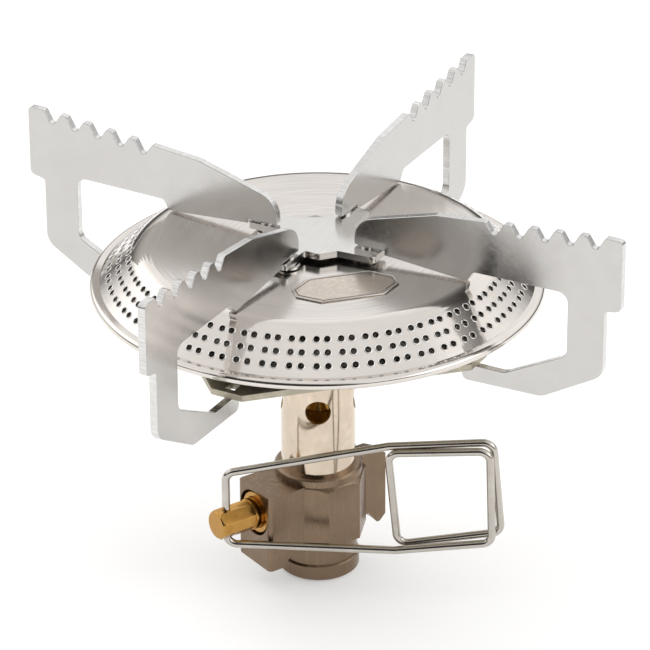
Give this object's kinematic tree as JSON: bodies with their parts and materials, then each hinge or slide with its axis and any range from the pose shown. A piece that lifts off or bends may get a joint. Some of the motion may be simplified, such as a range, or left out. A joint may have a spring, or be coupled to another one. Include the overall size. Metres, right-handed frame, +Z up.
{
  "type": "camping stove",
  "caption": "Compact canister-top gas stove: round ported burner, folding sheet pot supports, valve body with a folding wire handle.",
  "frame": {"origin": "centre of the collar's lower face, on the axis of the burner", "axes": "+Z up along the burner's axis; the pot supports lie along X and Y"},
  "size_m": [0.1234, 0.1234, 0.082],
  "materials": {
    "satin_nickel": "satin, machined",
    "polished_nickel": "polished",
    "brass": "machined",
    "copper": "dull",
    "screen_steel": "mesh",
    "bowl_steel": "polished, underside",
    "cap_steel": "spin brushed top, polished cone",
    "spacer_steel": "dull",
    "plate_steel": "satin",
    "under_plate_steel": "polished",
    "badge_enamel": "matte",
    "rubber": "matte",
    "sintered_bronze": "sintered",
    "spindle_brass": "turned",
    "wire_steel": "polished wire",
    "support_steel": "satin",
    "rivet_steel": "dull"
  },
  "bodies": {
    "stove": {"valve_body": "satin_nickel", "mixing_tube": "polished_nickel", "jet": "brass", "jet_washer": "copper", "flame_screen": "screen_steel", "burner_bowl": "bowl_steel", "burner_cap": "cap_steel", "plate_spacer": "spacer_steel", "top_plate": "plate_steel", "bottom_plate": "under_plate_steel", "badge_plate": "badge_enamel", "gland_nut": "brass", "canister_seal": "rubber", "gas_filter": "sintered_bronze", "actuator_pin": "brass"},
    "spindle": {"spindle": "spindle_brass", "spindle_seal": "rubber"},
    "handle": {"valve_handle": "wire_steel"},
    "support_1": {"pot_support_1": "support_steel", "swivel_rivet_1": "rivet_steel"},
    "support_2": {"pot_support_2": "support_steel", "swivel_rivet_2": "rivet_steel"},
    "support_3": {"pot_support_3": "support_steel", "swivel_rivet_3": "rivet_steel"},
    "support_4": {"pot_support_4": "support_steel", "swivel_rivet_4": "rivet_steel"}
  },
  "joints": [
    {"name": "support_1_fold", "type": "hinge", "parent": "stove", "child": "support_1", "pos_m": [0.0105, 0, 0.07], "axis": [0, 0, 1], "range_deg": [0, 80]},
    {"name": "support_2_fold", "type": "hinge", "parent": "stove", "child": "support_2", "pos_m": [0, 0.0105, 0.07], "axis": [0, 0, 1], "range_deg": [0, 80]},
    {"name": "support_3_fold", "type": "hinge", "parent": "stove", "child": "support_3", "pos_m": [-0.0105, 0, 0.07], "axis": [0, 0, 1], "range_deg": [0, 80]},
    {"name": "support_4_fold", "type": "hinge", "parent": "stove", "child": "support_4", "pos_m": [0, -0.0105, 0.07], "axis": [0, 0, 1], "range_deg": [0, 80]},
    {"name": "valve_turn", "type": "hinge", "parent": "stove", "child": "spindle", "pos_m": [0.01887, -0.00921, 0.0155], "axis": [0.8988, -0.4384, 0], "range_deg": [0, 20]},
    {"name": "handle_swing", "type": "hinge", "parent": "spindle", "child": "handle", "pos_m": [0.01887, -0.00921, 0.0155], "axis": [0, 0, -1], "range_deg": [0, 136]}
  ]
}
